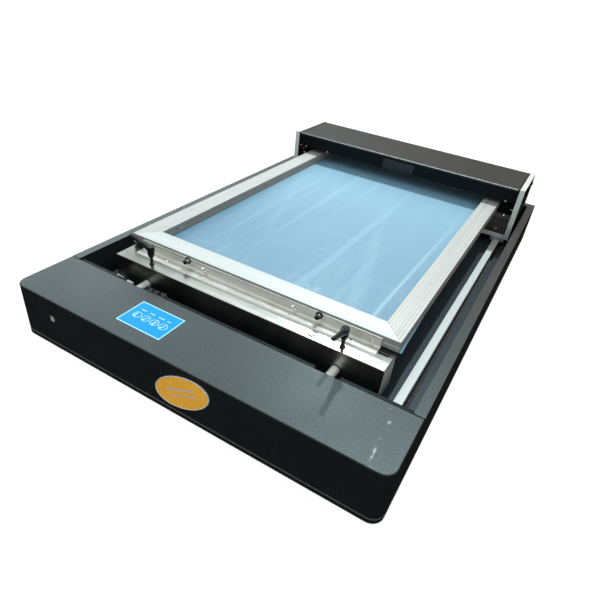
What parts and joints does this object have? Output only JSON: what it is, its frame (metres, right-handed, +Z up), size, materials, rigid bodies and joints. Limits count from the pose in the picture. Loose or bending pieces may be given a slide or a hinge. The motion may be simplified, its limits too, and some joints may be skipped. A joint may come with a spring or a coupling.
{
  "type": "flatbed screen stencil maker",
  "caption": "Flatbed stencil-making machine: a low black case with a display, a clamped aluminium screen printing frame with blue mesh, and a bridge that travels over it on rails.",
  "frame": {"origin": "middle of the bounding box, on the surface that the rubber feet stand on", "axes": "+X to the operator's right, +Y from the operator to the rear, +Z up"},
  "size_m": [0.56, 0.8572, 0.1558],
  "materials": {
    "black_paint": "fine-textured powder coat, semi-matt",
    "black_anodised": "black anodised, satin",
    "bare_aluminium": "sawn and milled, satin",
    "stainless": "brushed along its length, glossy",
    "frame_aluminium": "extruded, ribbed, satin",
    "rail_steel": "ground",
    "shaft_steel": "hard chrome, polished",
    "blue_film": "woven mesh laminated with a glossy stencil film",
    "screen_glass": "lit display under glass",
    "badge_gold": "satin, with a paler rim",
    "black_plastic": "moulded, matt",
    "rubber": "matt",
    "motor_body": "painted laminations",
    "board_green": "solder-mask green",
    "pulley_aluminium": "turned",
    "head_ceramic": "glazed"
  },
  "bodies": {
    "base": {"base_plate": "black_paint", "foot_front_left": "rubber", "foot_front_right": "rubber", "foot_rear_left": "rubber", "foot_rear_right": "rubber", "front_cover": "black_paint", "left_wall": "black_paint", "right_wall": "black_paint", "rear_wall": "black_paint", "inner_panel": "black_anodised", "deck": "black_anodised", "rail_left": "rail_steel", "rail_right": "rail_steel", "guide_shaft_left": "shaft_steel", "guide_shaft_right": "shaft_steel", "shaft_block_left": "bare_aluminium", "shaft_block_right": "bare_aluminium", "belt_left": "rubber", "belt_right": "rubber", "touch_screen": "screen_glass", "control_board": "board_green", "badge_plate": "badge_gold", "usb_socket": "bare_aluminium", "power_inlet": "black_plastic", "limit_switch": "bare_aluminium", "drive_motor": "motor_body", "idler_axle": "shaft_steel"},
    "drive_shaft": {"drive_shaft": "shaft_steel", "drive_pulley_left": "pulley_aluminium", "drive_pulley_right": "pulley_aluminium"},
    "idler_left": {"idler_pulley_left": "pulley_aluminium"},
    "idler_right": {"idler_pulley_right": "pulley_aluminium"},
    "power_switch": {"power_switch": "black_plastic"},
    "gantry": {"gantry_lower_plate": "black_anodised", "gantry_end_left": "bare_aluminium", "gantry_end_right": "bare_aluminium", "carriage_left": "bare_aluminium", "carriage_right": "bare_aluminium", "belt_clamp_left": "bare_aluminium", "belt_clamp_right": "bare_aluminium", "lift_solenoid_left": "motor_body", "lift_solenoid_right": "motor_body", "gantry_top_cover": "black_paint", "gantry_front_panel": "black_anodised", "gantry_rear_panel": "black_anodised", "gantry_cross_beam": "bare_aluminium"},
    "thermal_head": {"thermal_head": "head_ceramic"},
    "clamp_beam": {"clamp_beam": "stainless", "clamp_bracket": "stainless", "beam_bush_left": "black_plastic", "beam_bush_right": "black_plastic", "frame_front_bar": "frame_aluminium", "frame_rear_bar": "frame_aluminium", "frame_left_bar": "frame_aluminium", "frame_right_bar": "frame_aluminium", "mesh_sheet": "blue_film"},
    "clamp_screw_left": {"clamp_screw_left": "black_plastic"},
    "clamp_screw_right": {"clamp_screw_right": "black_plastic"},
    "clamp_lever_left": {"clamp_lever_left": "black_plastic"},
    "clamp_lever_right": {"clamp_lever_right": "black_plastic"}
  },
  "joints": [
    {"name": "gantry_travel", "type": "slide", "parent": "base", "child": "gantry", "axis": [0, -1, 0], "range_m": [0, 0.512]},
    {"name": "drive_turn", "type": "hinge", "parent": "base", "child": "drive_shaft", "pos_m": [0, -0.3704, 0.021], "axis": [1, 0, 0], "range_deg": [0, 4660]},
    {"name": "idler_left_turn", "type": "hinge", "parent": "base", "child": "idler_left", "pos_m": [-0.2475, 0.3986, 0.021], "axis": [1, 0, 0], "range_deg": [0, 4660]},
    {"name": "idler_right_turn", "type": "hinge", "parent": "base", "child": "idler_right", "pos_m": [0.2475, 0.3986, 0.021], "axis": [1, 0, 0], "range_deg": [0, 4660]},
    {"name": "power_switch_rock", "type": "hinge", "parent": "base", "child": "power_switch", "pos_m": [0.15, 0.4226, 0.063], "axis": [1, 0, 0], "range_deg": [0, 8]},
    {"name": "head_lift", "type": "slide", "parent": "gantry", "child": "thermal_head", "axis": [0, 0, 1], "range_m": [0, 0.0025]},
    {"name": "beam_slide", "type": "slide", "parent": "base", "child": "clamp_beam", "axis": [0, 1, 0], "range_m": [-0.012, 0.012]},
    {"name": "clamp_screw_left_turn", "type": "hinge", "parent": "clamp_beam", "child": "clamp_screw_left", "pos_m": [-0.1088, -0.2764, 0.1112], "axis": [0, 1, 0], "continuous": true},
    {"name": "clamp_screw_right_turn", "type": "hinge", "parent": "clamp_beam", "child": "clamp_screw_right", "pos_m": [0.1088, -0.2764, 0.1112], "axis": [0, 1, 0], "continuous": true},
    {"name": "clamp_lever_left_turn", "type": "hinge", "parent": "clamp_beam", "child": "clamp_lever_left", "pos_m": [-0.156, -0.293, 0.0992], "axis": [0, 0, 1], "range_deg": [-90, 90]},
    {"name": "clamp_lever_right_turn", "type": "hinge", "parent": "clamp_beam", "child": "clamp_lever_right", "pos_m": [0.156, -0.293, 0.0992], "axis": [0, 0, 1], "range_deg": [-90, 90]}
  ],
  "couplings": [
    {"joint": "drive_turn", "follows": "gantry_travel", "rad_per_m": 158.73},
    {"joint": "idler_left_turn", "follows": "gantry_travel", "rad_per_m": 158.73},
    {"joint": "idler_right_turn", "follows": "gantry_travel", "rad_per_m": 158.73}
  ]
}
